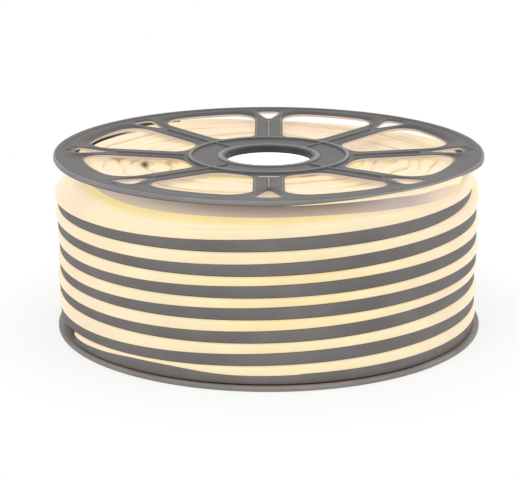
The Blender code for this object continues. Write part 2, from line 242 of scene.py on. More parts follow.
def outward(outline):
    """Unit normals of a closed outline, pointing away from its middle."""
    course = np.roll(outline, -1, axis=0) - np.roll(outline, 1, axis=0)
    normals = np.stack([course[:, 1], -course[:, 0]], axis=1) / np.linalg.norm(course, axis=1)[:, None]
    turned_in = np.sum(normals * (outline - outline.mean(axis=0))) < 0
    return -normals if turned_in else normals


cut_points, cut_faces, lip_points, lip_faces = [], [], [], []
LIP_SIDES = 12
WALL_SIDES = (5, 6, 7, 8)
HIGHLIGHT_SIDE = 2
CUT_MARGIN = 3 * MM
for outline, angle in openings:
    edge = turned_outline(outline, angle)
    normals = outward(edge)
    edge = edge + normals * EDGE_LIP
    count, first = len(edge), len(cut_points)
    for height in (hub_back - CUT_MARGIN, CUT_MARGIN):
        cut_points += [(x, y, height) for x, y in edge]
    cut_faces += [tuple(range(first, first + count)), tuple(range(first + count, first + 2 * count))]
    cut_faces += [(first + i, first + (i + 1) % count, first + count + (i + 1) % count, first + count + i)
                  for i in range(count)]
    middle = -flange_face(np.linalg.norm(edge, axis=1)) - PLATE / 2
    around = np.arange(LIP_SIDES) * 2 * math.pi / LIP_SIDES
    ring = np.concatenate([edge[:, None, :] + EDGE_LIP * np.cos(around)[None, :, None] * normals[:, None, :],
                           (middle[:, None] + EDGE_LIP * np.sin(around)[None, :])[:, :, None]], axis=2)
    first = len(lip_points)
    lip_points += [tuple(p) for p in ring.reshape(-1, 3)]
    lip_faces += [tuple(first + v for v in face) for face in spun_faces(count, LIP_SIDES)]

cutter = mesh_piece("opening_cutter", cut_points, cut_faces)
cut = flange.modifiers.new("Openings", 'BOOLEAN')
cut.operation = 'DIFFERENCE'
cut.solver = 'EXACT'
cut.object = cutter
bpy.context.view_layer.update()
flange.data = bpy.data.meshes.new_from_object(flange.evaluated_get(bpy.context.evaluated_depsgraph_get()))
flange.modifiers.clear()
bpy.data.objects.remove(cutter, do_unlink=True)


# A low rounded rib runs out along each spoke, and most spokes have a small mark by the bead.
RIB_SIDES = 9
RIB_STATIONS = 30
RIB_SINK = 0.3 * MM


def rib_grid(start, end, angle, width, rise):
    """Points and faces of a rounded rib that lies along a spoke on the dished face."""
    radii = np.linspace(start, end, RIB_STATIONS)
    taper = np.sqrt(np.clip(np.minimum(radii - start, end - radii) / (width / 2), 0.02, 1.0))
    across = np.linspace(math.pi, 0.0, RIB_SIDES)
    points = []
    for radius, size in zip(radii, taper):
        for t in across:
            side = width / 2 * size * math.cos(t)
            height = -flange_face(radius) - RIB_SINK + (rise + RIB_SINK) * size * math.sin(t)
            points.append((radius * math.cos(angle) - side * math.sin(angle),
                           radius * math.sin(angle) + side * math.cos(angle), height))
    return points, spun_faces(len(radii), len(across), closed_round=False)


RIB_WIDTH = 2.6 * MM
RIB_RISE = 1.1 * MM
RIB_END = 114.5 * MM
SLOT_RIB_START = 74 * MM
STRAIGHT_RIB_START = 62 * MM
DIAGONAL_RIB_START = 41 * MM
MARK_START = 148 * MM
MARK_END = 153 * MM
MARK_WIDTH = 0.9 * MM
MARK_RISE = 0.5 * MM
ribs = []
for spoke in range(SPOKES):
    angle = FRONT + spoke * SPOKE_SPACING
    diagonal = spoke % 2 == 1
    inner_end = DIAGONAL_RIB_START if diagonal else STRAIGHT_RIB_START
    if spoke == 0:
        inner_end = SLOT_RIB_START
    ribs.append(rib_grid(inner_end, RIB_END, angle, RIB_WIDTH, RIB_RISE))
    if spoke > 1:
        ribs.append(rib_grid(MARK_START, MARK_END, angle, MARK_WIDTH, MARK_RISE))
rib_points, rib_faces = [], []
for points, faces in ribs:
    first = len(rib_points)
    rib_points += points
    rib_faces += [tuple(first + v for v in face) for face in faces]


def mottled(name, colour, darker, roughness, grain, grain_size, bump):
    """A moulded or extruded plastic: two close shades in soft patches, under a fine grain."""
    made = bpy.data.materials.new(name)
    made.use_nodes = True
    nodes, links = made.node_tree.nodes, made.node_tree.links
    shader = nodes["Principled BSDF"]
    shader.inputs["Roughness"].default_value = roughness
    shader.inputs["Specular IOR Level"].default_value = 0.4
    place = nodes.new("ShaderNodeTexCoord")
    patches = nodes.new("ShaderNodeTexNoise")
    patches.inputs["Scale"].default_value = 22.0
    patches.inputs["Detail"].default_value = 4.0
    links.new(place.outputs["Object"], patches.inputs["Vector"])
    shades = nodes.new("ShaderNodeValToRGB")
    shades.color_ramp.elements[0].position = 0.36
    shades.color_ramp.elements[0].color = (*darker, 1.0)
    shades.color_ramp.elements[1].position = 0.64
    shades.color_ramp.elements[1].color = (*colour, 1.0)
    links.new(patches.outputs["Fac"], shades.inputs["Fac"])
    links.new(shades.outputs["Color"], shader.inputs["Base Color"])
    fine = nodes.new("ShaderNodeTexNoise")
    fine.inputs["Scale"].default_value = grain_size
    fine.inputs["Detail"].default_value = grain
    links.new(place.outputs["Object"], fine.inputs["Vector"])
    relief = nodes.new("ShaderNodeBump")
    relief.inputs["Strength"].default_value = bump
    relief.inputs["Distance"].default_value = 0.0004
    links.new(fine.outputs["Fac"], relief.inputs["Height"])
    links.new(relief.outputs["Normal"], shader.inputs["Normal"])
    return made


flange_plastic = mottled("flange_plastic", (0.108, 0.103, 0.100), (0.086, 0.081, 0.078),
                         0.46, 5.0, 900.0, 0.25)
# A paler grey, painted on crests and edges as a highlight.
painted_highlight = mottled("painted_highlight", (0.27, 0.264, 0.256), (0.22, 0.214, 0.207), 0.38, 5.0, 900.0, 0.2)
# A pale pinkish grey with a faint glow: painted light, standing in for the strip's light on the walls of the
# openings.
lit_wall = mottled("lit_wall", (0.50, 0.42, 0.38), (0.42, 0.34, 0.30), 0.5, 4.0, 700.0, 0.15)
wall_shader = lit_wall.node_tree.nodes["Principled BSDF"]
wall_shader.inputs["Emission Color"].default_value = (1.0, 0.78, 0.66, 1.0)
wall_shader.inputs["Emission Strength"].default_value = 0.22
# Near black: painted shade for the bore's wall.
bore_shade = mottled("bore_shade", (0.022, 0.019, 0.018), (0.014, 0.012, 0.011), 0.6, 3.0, 500.0, 0.1)
lips = mesh_piece("opening_lips", lip_points, lip_faces, 60)
for material in (flange_plastic, lit_wall, painted_highlight):
    lips.data.materials.append(material)
# The lips' sides that face into the openings get the glowing pale grey, painted light from the strip below;
# their top side gets the paler grey, a painted highlight.
for face in lips.data.polygons:
    side = face.index % LIP_SIDES
    face.material_index = 1 if side in WALL_SIDES else 2 if side == HIGHLIGHT_SIDE else 0
spoke_ribs = mesh_piece("spoke_ribs", rib_points, rib_faces, 60)
for material in (flange_plastic, painted_highlight):
    spoke_ribs.data.materials.append(material)
# The crests of the ribs get the paler grey, a painted highlight.
for face in spoke_ribs.data.polygons:
    face.material_index = int(face.index % RIB_SIDES in (3, 4))
for material in (flange_plastic, bore_shade, painted_highlight):
    flange.data.materials.append(material)
# The crests of the hub ring, the bore's lip and the bead are painted paler as highlights, and the bore's
# wall is painted dark as shade.
for face in flange.data.polygons:
    radius = math.hypot(face.center.x, face.center.y)
    depth = face.center.z
    on_ring = abs(radius - RING_RADIUS) < 1.3 * MM and depth > -HUB_FACE + 0.8 * MM
    on_lip = abs(radius - BORE_LIP + 1.6 * MM) < 1.4 * MM and depth > -HUB_FACE + 0.1 * MM
    on_bead = radius > REEL_RADIUS - 1.4 * MM and depth > -2.6 * MM
    if radius < BORE_RADIUS + 0.1 * MM and depth < -HUB_FACE - 1 * MM:
        face.material_index = 1
    elif on_ring or on_lip or on_bead:
        face.material_index = 2
with bpy.context.temp_override(active_object=flange, selected_editable_objects=[flange, lips, spoke_ribs]):
    bpy.ops.object.join()
flange.name = "upper_flange_moulding"
flange.location.z = REEL_HEIGHT
lower_moulding = bpy.data.objects.new("lower_flange_moulding", flange.data)
bpy.context.scene.collection.objects.link(lower_moulding)
lower_moulding.rotation_euler = (0.0, math.pi, 0.0)
# The upper bead looks thin at the front right in the photograph: it is shallower and further in there.
SHALLOW_FROM_TO = (272, 300, 325, 345)
SHALLOW_DEPTH = 1.4 * MM
SHALLOW_INSET = 2.5 * MM
flange.data = flange.data.copy()
for vertex in flange.data.vertices:
    radius = math.hypot(vertex.co.x, vertex.co.y)
    turned = math.degrees(math.atan2(vertex.co.y, vertex.co.x)) % 360
    shallow = float(np.interp(turned, SHALLOW_FROM_TO, (0, 1, 1, 0)))
    if radius > CONE_RADIUS + 1 * MM and shallow > 0:
        inward = 1 - SHALLOW_INSET * shallow * (radius - CONE_RADIUS) / (REEL_RADIUS - CONE_RADIUS) / radius
        height = vertex.co.z * (1 - shallow) + max(vertex.co.z, -SHALLOW_DEPTH) * shallow
        vertex.co = (vertex.co.x * inward, vertex.co.y * inward, height)
# The lower moulding is painted a paler, warmer grey, standing in for the light of the strip above it.
strip_lit_grey = mottled("strip_lit_grey", (0.33, 0.285, 0.26), (0.25, 0.215, 0.195), 0.45, 5.0, 900.0, 0.25)
lower_moulding.material_slots[0].link = 'OBJECT'
lower_moulding.material_slots[0].material = strip_lit_grey
for moulding, node in ((flange, "upper_flange"), (lower_moulding, "lower_flange")):
    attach(moulding, "root")
    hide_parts(node)


# The core is a plain white plastic tube, held between the two hubs by their spigots. The strip is
# wound straight on to it. Its inside is painted white and made to glow, standing in for the first
# turns' light coming through its wall, so the bore looks bright; its outside is painted brown as shade.
CORE_RADIUS = 60 * MM
CORE_INNER = 57 * MM
CORE_LOW = 8.7 * MM
CORE_HIGH = REEL_HEIGHT - CORE_LOW
CORE_EDGE = 0.5 * MM
core_profile = [(CORE_INNER, CORE_LOW + CORE_EDGE), (CORE_INNER, CORE_HIGH - CORE_EDGE),
                (CORE_INNER + CORE_EDGE, CORE_HIGH), (CORE_RADIUS - CORE_EDGE, CORE_HIGH),
                (CORE_RADIUS, CORE_HIGH - CORE_EDGE), (CORE_RADIUS, CORE_LOW + CORE_EDGE),
                (CORE_RADIUS - CORE_EDGE, CORE_LOW), (CORE_INNER + CORE_EDGE, CORE_LOW)]
CORE_STEPS = 160
core = turned_piece("core_tube_wall", core_profile, CORE_STEPS)
core_white = mottled("core_white", (0.9, 0.89, 0.87), (0.84, 0.83, 0.80), 0.55, 3.0, 400.0, 0.15)
core_shader = core_white.node_tree.nodes["Principled BSDF"]
core_shader.inputs["Emission Color"].default_value = (1.0, 0.98, 0.95, 1.0)
core_shader.inputs["Emission Strength"].default_value = 0.8
core_outside_shade = mottled("core_outside_shade", (0.42, 0.27, 0.15), (0.30, 0.19, 0.10), 0.6, 3.0, 400.0, 0.15)
for material in (core_white, core_outside_shade):
    core.data.materials.append(material)
# Inside faces get the glowing white, outside faces the brown painted shade.
for face in core.data.polygons:
    face.material_index = int(math.hypot(face.center.x, face.center.y) > CORE_INNER + CORE_EDGE)
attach(core, "root")
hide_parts("core_tube")


# The strip is one long vinyl extrusion, wound edge up: an opaque grey channel with a milky lit dome
# on its upper edge. The outer layer climbs round the roll, each channel resting on the dome of the
# turn below. This section is the channel; whole turns are counted at the front.
PITCH = 16 * MM
FIRST_MIDDLE = 22.3 * MM
LAYER_OUTER = 157.0 * MM
LAYER_INNER = 149 * MM
ROLL_RADIUS = 148.7 * MM
FLOOR_FACE = 4.1 * MM
STEPS_A_TURN = 180
SLIVER = 0.02 * MM
CHANNEL_START = -1.31
FIRST_TURN = -1.186
CHANNEL_END = 5.226
LAST_END = 6.19


def along(x, points):
    """A smooth line through the (place, value) points, level beyond both ends."""
    place, value = np.array(points, dtype=float).T
    slope = np.gradient(value, place)
    slope[0] = slope[-1] = 0.0
    x = np.clip(x, place[0], place[-1])
    i = np.clip(np.searchsorted(place, x) - 1, 0, len(place) - 2)
    width = place[i + 1] - place[i]
    s = (x - place[i]) / width
    return ((2 * s ** 3 - 3 * s ** 2 + 1) * value[i] + (s ** 3 - 2 * s ** 2 + s) * width * slope[i]
            + (3 * s ** 2 - 2 * s ** 3) * value[i + 1] + (s ** 3 - s ** 2) * width * slope[i + 1])


def ease(share):
    """Runs smoothly from 0 to 1 as the share does."""
    share = np.clip(share, 0.0, 1.0)
    return share * share * (3 - 2 * share)


# No two turns lie quite alike: how far each lies off the even climb (mm), how much it sways up and
# down on its way round (mm), and the angle at which that sway rises (degrees).
TURN_LIFT = ((-1, -0.6), (0, -0.9), (1, 0.5), (2, 0.0), (3, 0.0), (4, 0.1), (5, 0.3), (6, 0.0))
TURN_SWAY = ((-1, 0.9), (0, 2.0), (1, 1.3), (2, 1.3), (3, 1.3), (4, 1.9), (5, 1.9), (6, 1.0))
SWAY_RISE = ((-1, 220), (0, 252), (1, 274), (2, 256), (3, 267), (4, 284), (5, 268), (6, 268))


def channel_middle(turn):
    """Height of the middle of the channel's outer face; whole turns are at the front."""
    angle = turn * 360 + 270
    sway = along(turn, TURN_SWAY) * np.sin(2 * np.radians(angle - along(turn, SWAY_RISE)))
    return FIRST_MIDDLE + PITCH * turn + (along(turn, TURN_LIFT) + sway) * MM


CHANNEL_MM = 8.4
CHANNEL_SWAY_MM = 1.15


def channel_height(turn):
    """The channel leans a little as it goes round, so its face looks taller or lower."""
    return (CHANNEL_MM + CHANNEL_SWAY_MM * np.sin(2 * np.radians(turn * 360 + 20))) * MM


# Near its end the strip rolls over: the channel slips out of sight and the lit side faces out, round
# the back and up the left. Extra lift of the underside and of the seam, and the height of the free
# upper edge, in mm, by turn: worked out from edges read off the photograph, then adjusted.
UNDER_LIFT = ((5.10, 0.0), (5.15, 0.6), (5.19, 2.6), (5.208, 4.4), (5.222, 8.5), (5.27, 8.0), (5.36, 2.5),
              (5.46, 0.0), (5.97, 0.0), (6.03, 1.6), (6.075, 3.4), (6.107, 2.0), (6.134, 0.6), (6.155, 0.4),
              (6.166, 2.0), (6.178, 8.0), (6.19, 13.0))
SEAM_LIFT = ((5.10, 0.0), (5.15, 0.3), (5.208, 0.5), (5.226, 0.9))
LAST_TOP = ((5.226, 129.6), (5.27, 127.4), (5.35, 125.0), (5.5, 125.2), (5.57, 128.7), (5.60, 129.3),
            (5.785, 129.3), (5.80, 128.6), (5.815, 127.6), (5.839, 125.3), (5.865, 122.2), (5.893, 120.7),
            (5.93, 120.2), (5.96, 120.6), (6.0, 120.9), (6.03, 121.3), (6.06, 121.0), (6.085, 120.1),
            (6.107, 119.5), (6.134, 118.4), (6.155, 118.4), (6.166, 120.0), (6.178, 126.5), (6.19, 129.8))
# The first turn comes up from under the second one: how much of its dome shows, in mm, by turn.
FIRST_DOME = ((-1.186, 0.0), (-1.168, 3.0), (-1.14, 3.2), (-1.10, 1.7), (-1.075, 2.4), (-1.03, 6.2),
              (-0.98, 7.3))
FIRST_COVERED = -0.98


def underside(turn):
    """Height of the lowest visible edge of the strip's outer face."""
    return channel_middle(turn) - channel_height(turn) / 2 + along(turn, UNDER_LIFT) * MM


def seam(turn):
    """Height of the line between channel and dome; it meets the underside where the strip rolls."""
    upright = channel_middle(turn) + channel_height(turn) / 2 + along(turn, SEAM_LIFT) * MM
    upright = np.where(turn < FIRST_COVERED, dome_top(turn) - along(turn, FIRST_DOME) * MM, upright)
    return np.where(turn < CHANNEL_END, np.maximum(upright, underside(turn) + SLIVER), underside(turn))


TURN_GAP = 0.15 * MM


def dome_top(turn):
    """Height where the dome meets the next turn, or the free upper edge of the last one."""
    free = along(turn, LAST_TOP) * MM
    return np.where(turn < CHANNEL_END, underside(turn + 1), free) - TURN_GAP


# The upper turn lies further in at the right and round the back, in mm, by turn. The whole roll lies
# a little to the left of the flanges' middle, in mm. The first turn starts sunk into the layer.
UPPER_INSET = ((5.06, 0.0), (5.19, 3.3), (5.50, 3.3), (5.68, 0.0))
ROLL_SHIFT = 0.9
SUNK = 2.5 * MM


def face_radius(turn):
    """Outer radius of the channel's face: the first turn comes out from under the second."""
    rising = ease((turn - FIRST_TURN + 0.004) / 0.016)
    wander = 0.35 * np.sin(2 * math.pi * turn * 1.37 + 0.6) + 0.25 * np.sin(2 * math.pi * turn * 3.21)
    aside = -ROLL_SHIFT * np.sin(2 * math.pi * turn)
    sunk = LAYER_INNER + SUNK
    return sunk + (LAYER_OUTER - sunk + (wander + aside - 0.3 - along(turn, UPPER_INSET)) * MM) * rising


turns = np.linspace(CHANNEL_START, CHANNEL_END, round((CHANNEL_END - CHANNEL_START) * STEPS_A_TURN))
low = np.maximum(underside(turns), FLOOR_FACE)
high = np.maximum(seam(turns), low + SLIVER)
face = face_radius(turns)
corner = np.minimum(0.7 * MM, (high - low) / 4)
channel_section = np.stack([
    np.stack([np.full_like(face, LAYER_INNER), low], axis=1),
    np.stack([face - corner, low], axis=1),
    np.stack([face - corner * 0.3, low + corner * 0.3], axis=1),
    np.stack([face, low + corner], axis=1),
    np.stack([face + 0.1 * MM, (low + high) / 2], axis=1),
    np.stack([face, high - corner], axis=1),
    np.stack([face - corner * 0.3, high - corner * 0.3], axis=1),
    np.stack([face - corner, high], axis=1),
    np.stack([np.full_like(face, LAYER_INNER), high], axis=1)], axis=1)
SHADED_SIDES = (1, 2)


def wound(section, turns):
    """Places (radius, height) sections round the reel at their turns, as one row of points."""
    angle = turns * 2 * math.pi + FRONT
    return np.stack([section[:, :, 0] * np.cos(angle)[:, None], section[:, :, 0] * np.sin(angle)[:, None],
                     section[:, :, 1]], axis=2).reshape(-1, 3)


def capped_faces(rings, points):
    """Faces of a closed section followed along the winding, with a cap at each end."""
    ends = [tuple(range(points)), tuple(range((rings - 1) * points, rings * points))]
    return spun_faces(rings, points, closed_round=False) + ends


sides = channel_section.shape[1]
wound_channel = mesh_piece("wound_channel", wound(channel_section, turns),
                           capped_faces(len(turns), sides), 50)
channel_grey = mottled("channel_grey", (0.195, 0.18, 0.178), (0.155, 0.145, 0.142), 0.5, 4.0, 700.0, 0.2)
shaded_edge = mottled("shaded_edge", (0.105, 0.078, 0.05), (0.08, 0.06, 0.04), 0.6, 4.0, 700.0, 0.2)
for material in (channel_grey, shaded_edge):
    wound_channel.data.materials.append(material)
for side in wound_channel.data.polygons:
    side.material_index = int(side.index % sides in SHADED_SIDES)
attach(wound_channel, "root")
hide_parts("strip_channel")


# The dome is the milky half of the same extrusion, with the light of the diodes spread evenly in it.
# Its colour drifts: peach towards the sides, yellow where the light comes through more of the vinyl.
CREAM = np.array((1.0, 0.855, 0.578))
PEACH = np.array((0.985, 0.775, 0.575))
YELLOW = np.array((0.985, 0.80, 0.345))
# The brown and the black below are painted shade: brown for creases and shaded patches, black for deep
# shadow under the rim.
SHADE_BROWN = np.array((0.50, 0.30, 0.165))
SHADOW_BLACK = np.array((0.012, 0.008, 0.006))


def blend(colours, other, share):
    """The rows of colours, each moved towards the other colour by its share."""
    return colours + (other - colours) * np.clip(share, 0.0, 1.0)[:, None]


def hump(value, middle, reach):
    """A soft bell, 1 at the middle and near 0 beyond the reach."""
    return np.exp(-((value - middle) / reach) ** 2)


def paint(piece, colours):
    """Stores a colour at each point of the piece, for its material to read."""
    layer = piece.data.attributes.new("strip_colour", 'FLOAT_COLOR', 'POINT')
    opaque = np.hstack([colours, np.ones((len(colours), 1))])
    layer.data.foreach_set("color", opaque.ravel().astype(np.float32))


def milky(name, own_light, body):
    """The lit milky vinyl: it glows in the painted colour, a little uneven along the strip."""
    made = bpy.data.materials.new(name)
    made.use_nodes = True
    nodes, links = made.node_tree.nodes, made.node_tree.links
    shader = nodes["Principled BSDF"]
    shader.inputs["Roughness"].default_value = 0.38
    shader.inputs["Specular IOR Level"].default_value = 0.3
    shader.inputs["Emission Strength"].default_value = own_light
    painted = nodes.new("ShaderNodeAttribute")
    painted.attribute_name = "strip_colour"
    place = nodes.new("ShaderNodeTexCoord")
    drift = nodes.new("ShaderNodeTexNoise")
    drift.inputs["Scale"].default_value = 26.0
    drift.inputs["Detail"].default_value = 3.0
    links.new(place.outputs["Object"], drift.inputs["Vector"])
    uneven = nodes.new("ShaderNodeMapRange")
    uneven.inputs["From Min"].default_value = 0.3
    uneven.inputs["From Max"].default_value = 0.7
    uneven.inputs["To Min"].default_value = 0.93
    uneven.inputs["To Max"].default_value = 1.04
    links.new(drift.outputs["Fac"], uneven.inputs["Value"])
    glow = nodes.new("ShaderNodeVectorMath")
    glow.operation = 'SCALE'
    links.new(painted.outputs["Color"], glow.inputs[0])
    links.new(uneven.outputs["Result"], glow.inputs["Scale"])
    links.new(glow.outputs["Vector"], shader.inputs["Emission Color"])
    plain = nodes.new("ShaderNodeVectorMath")
    plain.operation = 'SCALE'
    plain.inputs["Scale"].default_value = body
    links.new(painted.outputs["Color"], plain.inputs[0])
    links.new(plain.outputs["Vector"], shader.inputs["Base Color"])
    return made


# How far the last turn's dome leans in over its height, in mm, by turn.
LAST_LEAN = ((5.10, 0.0), (5.22, 1.2), (5.40, 4.0), (5.60, 12.0), (5.68, 26.0), (5.78, 26.0), (5.83, 16.0),
             (5.865, 9.0), (5.90, 7.0), (6.00, 5.5), (6.17, 4.0))
INNERMOST = 143.4 * MM
OUTERMOST = 159.6 * MM
DOME_SINK = 0.5 * MM
# Height of the lower edge of the last turn's yellow side, in mm, by turn.
YELLOW_EDGE = ((5.76, 124.0), (5.80, 121.0), (5.84, 117.5), (5.88, 115.0), (5.99, 115.0), (6.08, 120.0),
               (6.12, 124.0))
# How yellow each turn's dome is at the front.
TURN_YELLOW = ((-1, 0.35), (0, 0.45), (1, 0.75), (2, 0.85), (3, 0.95), (4, 0.35), (5, 0.1), (6, 0.1))

turns = np.linspace(FIRST_TURN, LAST_END, round((LAST_END - FIRST_TURN) * STEPS_A_TURN))
low = np.maximum(seam(turns), FLOOR_FACE)
high = np.maximum(dome_top(turns), low + 0.05 * MM)
face = face_radius(turns)
left_swell = ease((turns - 4.70) / 0.08) * ease((4.88 - turns) / 0.06)
bulge = np.minimum(1.3 * MM, (high - low) * 0.25) + 1.8 * MM * left_swell
lean = along(turns, LAST_LEAN) * MM
DOME_STEPS = 14
dome_back = LAYER_INNER - DOME_SINK
dome_section = [np.stack([np.full_like(face, dome_back), low], axis=1)]
for s in np.linspace(0.0, 1.0, DOME_STEPS + 1):
    swell = bulge * (1 - abs(2 * s - 0.9) ** 2.5) * (1 if s else 0)
    crown = 0.9 * MM * ease((s - 0.86) / 0.14)
    radius = np.clip(face + swell - lean * s ** 1.15 - crown, INNERMOST, OUTERMOST)
    dome_section.append(np.stack([radius, low + (high - low) * s], axis=1))
top_radius = dome_section[-1][:, 0]
dome_section.append(np.stack([np.minimum(dome_back, top_radius - 1.5 * MM), high], axis=1))
dome_section = np.stack(dome_section, axis=1)
wound_dome = mesh_piece("wound_dome", wound(dome_section, turns),
                        capped_faces(len(turns), dome_section.shape[1]), 50)

turn_of = np.repeat(turns, dome_section.shape[1])
height_of = dome_section[:, :, 1].ravel()
degrees = (turn_of * 360 + 270) % 360
dome_colours = np.tile(CREAM, (len(turn_of), 1))
dome_colours = blend(dome_colours, PEACH, 0.75 * hump(degrees, 203, 22) + 0.6 * hump(degrees, 330, 20))
dome_colours = blend(dome_colours, YELLOW, 0.62 * hump(degrees, 276, 28) * along(turn_of, TURN_YELLOW))
in_lobe = ease((height_of - along(turn_of, YELLOW_EDGE) * MM) / (2.2 * MM))
in_lobe = in_lobe * (turn_of > 5.7) * (turn_of < 6.13)
at_band = hump(along(turn_of, LAST_TOP) * MM - height_of, 1.5 * MM, 4.0 * MM)
dome_colours = blend(dome_colours, YELLOW, in_lobe * (0.3 + 0.5 * at_band))
dome_colours = blend(dome_colours, PEACH, 0.55 * (1 - in_lobe) * hump(turn_of, 6.06, 0.07))
paint(wound_dome, dome_colours)
lit_milk = milky("lit_milk", 0.72, 0.30)
wound_dome.data.materials.append(lit_milk)
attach(wound_dome, "root")
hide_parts("strip_diffuser")


# Under the rim the last turn of the same vinyl strip is seen from its other side. It has rolled over
# on the reel, so its channel is uppermost. Its grey is painted paler towards its foot and made to glow,
# standing in for the light that leaks past it, and painted black as shadow under the rim at the back left.
BAND_START = 5.585
BAND_END = 6.172
# Height of the band's upper edge and radius of its face, in mm, by turn. The heights were worked out
# from edges read off the photograph, then adjusted.
BAND_TOP = ((5.585, 129.4), (5.61, 130.5), (5.62, 130.5), (5.91, 130.5), (5.92, 130.4), (5.955, 128.6),
            (6.0, 128.2), (6.055, 128.3), (6.078, 128.0), (6.10, 127.4), (6.115, 126.3), (6.152, 126.0),
            (6.172, 125.0))
BAND_FACE = ((5.585, 146.5), (5.61, 148.0), (5.70, 148.0), (5.78, 148.0), (5.845, 148.3), (5.88, 149.4),
             (5.92, 150.6), (6.172, 151.6))
BAND_BACK = 142.2 * MM
BAND_OVERLAP = 0.4 * MM
BAND_SLOPE = 1.2 * MM
BAND_DEEP = np.array((0.30, 0.235, 0.195))
BAND_PALE = np.array((0.62, 0.50, 0.415))
BAND_LILAC = np.array((0.55, 0.47, 0.43))

turns = np.linspace(BAND_START, BAND_END, round((BAND_END - BAND_START) * STEPS_A_TURN))
low = along(turns, LAST_TOP) * MM - BAND_OVERLAP
high = np.maximum(along(turns, BAND_TOP) * MM, low + 0.05 * MM)
outer = along(turns, BAND_FACE) * MM
BAND_STEPS = 8
band_section = [np.stack([np.full_like(low, BAND_BACK), low], axis=1)]
for s in np.linspace(0.0, 1.0, BAND_STEPS + 1):
    rounded = 0.5 * MM * ease((s - 0.85) / 0.15)
    band_section.append(np.stack([outer - BAND_SLOPE * s - rounded, low + (high - low) * s], axis=1))
band_section.append(np.stack([np.full_like(low, BAND_BACK), high], axis=1))
band_section = np.stack(band_section, axis=1)
turned_channel = mesh_piece("turned_channel", wound(band_section, turns),
                            capped_faces(len(turns), band_section.shape[1]), 50)
turn_of = np.repeat(turns, band_section.shape[1])
share_up = ((band_section[:, :, 1] - low[:, None]) / (high - low)[:, None]).ravel()
# Painted light and shadow: the band's grey is made paler towards its foot and its ends where light leaks
# past it, and black under the rim at the back left.
leak = 1 - share_up * (0.55 + 0.45 * ease((turn_of - 5.88) / 0.1))
leak = leak * (1 - 0.35 * hump(turn_of, 6.03, 0.08)) + 0.5 * (1 - ease((turn_of - 5.86) / 0.09))
band_colours = blend(np.tile(BAND_DEEP, (len(turn_of), 1)), BAND_PALE, leak)
band_colours = blend(band_colours, BAND_LILAC, 0.9 * ease((turn_of - 6.05) / 0.05))
peach_ends = 0.6 * ease((turn_of - 6.105) / 0.045) + 0.2 * (1 - ease((turn_of - 5.85) / 0.04))
band_colours = blend(band_colours, PEACH, peach_ends)
band_colours = blend(band_colours, SHADOW_BLACK, 1 - ease((turn_of - 5.785) / 0.03))
paint(turned_channel, band_colours)
turned_channel.data.materials.append(milky("leaking_light", 0.42, 0.75))
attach(turned_channel, "root")


# Above the turned-over channel the lit edge of the turn inside it shows as a thin cream line. It is
# the same milky vinyl, squeezed between the channel and the flange's rim.
LINE_START = 5.925
LINE_END = 6.186
LINE_BACK = 147.5 * MM
LINE_FACE = 150.7 * MM
UNDER_RIM = 130.8 * MM

turns = np.linspace(LINE_START, LINE_END, round((LINE_END - LINE_START) * STEPS_A_TURN * 2))
beyond_band = np.interp(turns, (BAND_END, LINE_END), (125, 112))
low = np.where(turns < BAND_END, along(turns, BAND_TOP), beyond_band) * MM
low = np.minimum(low, UNDER_RIM - 0.1 * MM)
outer = LINE_FACE + 1.0 * MM * ease((turns - 6.14) / 0.03)
line_section = np.stack([
    np.stack([np.full_like(low, LINE_BACK), low], axis=1),
    np.stack([outer, low], axis=1),
    np.stack([outer + 0.5 * MM, (low + UNDER_RIM) / 2], axis=1),
    np.stack([outer - 0.4 * MM, np.full_like(low, UNDER_RIM)], axis=1),
    np.stack([np.full_like(low, LINE_BACK), np.full_like(low, UNDER_RIM)], axis=1)], axis=1)
lit_line = mesh_piece("lit_line", wound(line_section, turns),
                      capped_faces(len(turns), line_section.shape[1]), 50)
paint(lit_line, np.tile(CREAM, (line_section.shape[0] * line_section.shape[1], 1)))
lit_line.data.materials.append(milky("bright_milk", 0.75, 0.42))
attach(lit_line, "root")


# Behind the outer layer stand the turns of the same strip that were wound on before it. Their lit
# upper edges make a rounded ridge for each layer, seen through the flange's windows; the ridges
# wander, and cross over where a turn climbs.
ROLL_INNER = 60.3 * MM
LAYERS = 8
LAYER_STEP = (ROLL_RADIUS - ROLL_INNER) / LAYERS
CREASE = 3.0 * MM
ROLL_STEPS = 360
ROLL_ROWS = 150
ROLL_LOW = 8.8 * MM
# Space between the ridges and the flange above them, in mm, by degrees round the reel.
HEADROOM = ((0, 1.6), (10, 2.4), (22, 7.0), (45, 8.0), (67, 8.6), (90, 5.6), (115, 4.2), (140, 2.2),
            (165, 1.3), (190, 2.2), (225, 2.4), (270, 1.8), (315, 2.4), (340, 2.4), (360, 1.6))
LEAST_HEADROOM = 0.4 * MM
# The last turn leans in at the left, so the roll is narrower there, in mm, by degrees.
NARROWING = ((100, 0.0), (125, 5.6), (150, 6.0), (205, 7.0), (235, 0.0))

angles = np.arange(ROLL_STEPS) * 2 * math.pi / ROLL_STEPS
degrees = np.degrees(angles)
outer = ROLL_RADIUS - along(degrees, NARROWING) * MM
grid_radius = ROLL_INNER + (outer - ROLL_INNER)[:, None] * np.linspace(0.0, 1.0, ROLL_ROWS)[None, :]
grid_angle = np.repeat(angles[:, None], ROLL_ROWS, axis=1)
grid_degrees = np.degrees(grid_angle)

